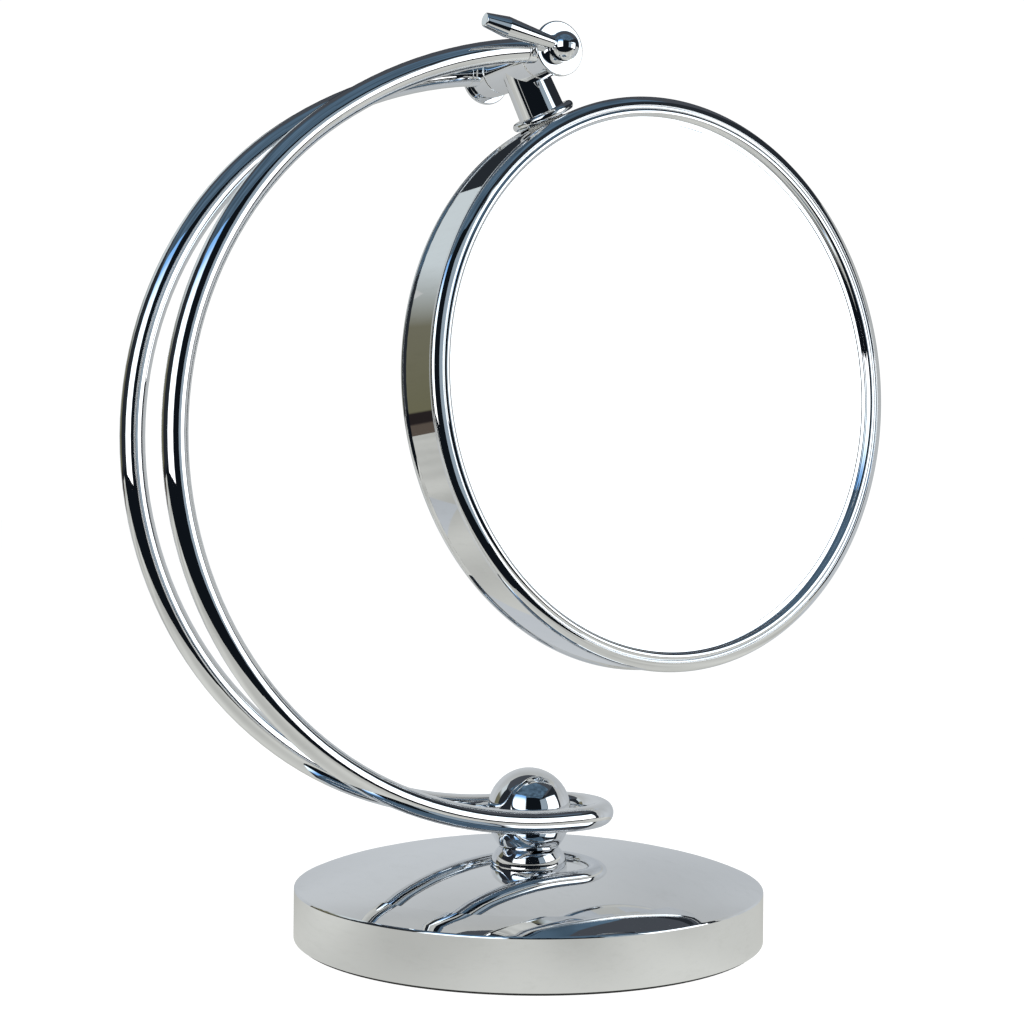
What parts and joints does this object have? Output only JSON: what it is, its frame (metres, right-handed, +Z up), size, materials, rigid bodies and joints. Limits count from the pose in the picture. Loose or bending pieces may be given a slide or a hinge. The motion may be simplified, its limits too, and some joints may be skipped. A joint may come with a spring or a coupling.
{
  "type": "shaving mirror",
  "caption": "Free-standing round chrome shaving mirror on a crescent of two bent rods, with a clamp pivot, a swivelling double-sided head and a weighted domed base.",
  "frame": {"origin": "centre of the base's flat underside, on the axis of the round base", "axes": "+Z up; +X towards the side the mirror head swings out to; -Y is the front, with the clamp lever and, at rest, the plane glass"},
  "size_m": [0.2982, 0.162, 0.3111],
  "materials": {
    "chrome": "polished chrome plate",
    "mirror": "silvered glass",
    "ballast": "as-cast, painted black",
    "rubber": "matt non-slip sheet",
    "steel": "zinc-plated hardware",
    "nylon": "natural nylon",
    "bronze": "sintered bronze",
    "backing": "matt sheet",
    "spacer": "moulded black"
  },
  "bodies": {
    "stand": {"base_shell": "chrome", "base_weight": "ballast", "base_pad": "rubber", "base_bolt": "steel", "base_washer": "steel", "ball_seat": "chrome", "ball_cap": "chrome", "arm_dowels": "steel", "arm_loop": "chrome", "arm_leg_front": "chrome", "arm_leg_rear": "chrome", "leg_ferrules": "chrome", "front_knuckle": "chrome", "rear_knuckle": "chrome", "front_disc": "chrome", "rear_disc": "chrome", "clamp_bolt": "chrome", "friction_washers": "nylon"},
    "lever": {"lever_hub": "chrome", "lever_handle": "chrome"},
    "stem": {"hinge_hub": "chrome", "stem_collar": "chrome", "swivel_bolt": "steel", "swivel_nut": "steel", "swivel_spring": "steel"},
    "head": {"case_band": "chrome", "front_bezel": "chrome", "rear_bezel": "chrome", "front_glass": "mirror", "rear_glass": "mirror", "front_backing": "backing", "rear_backing": "backing", "glass_spacer": "spacer", "swivel_washer": "nylon", "swivel_bush": "bronze", "swivel_block": "steel"}
  },
  "joints": [
    {"name": "head_tilt", "type": "hinge", "parent": "stand", "child": "stem", "pos_m": [-0.006, 0, 0.30195], "axis": [0, -1, 0], "range_deg": [-28.7, 151.3]},
    {"name": "head_swivel", "type": "hinge", "parent": "stem", "child": "head", "pos_m": [-0.006, 0, 0.30195], "axis": [0.4802, 0, -0.8771], "continuous": true},
    {"name": "clamp_lever", "type": "hinge", "parent": "stand", "child": "lever", "pos_m": [-0.006, 0, 0.30195], "axis": [0, -1, 0], "range_deg": [0, 55]}
  ]
}
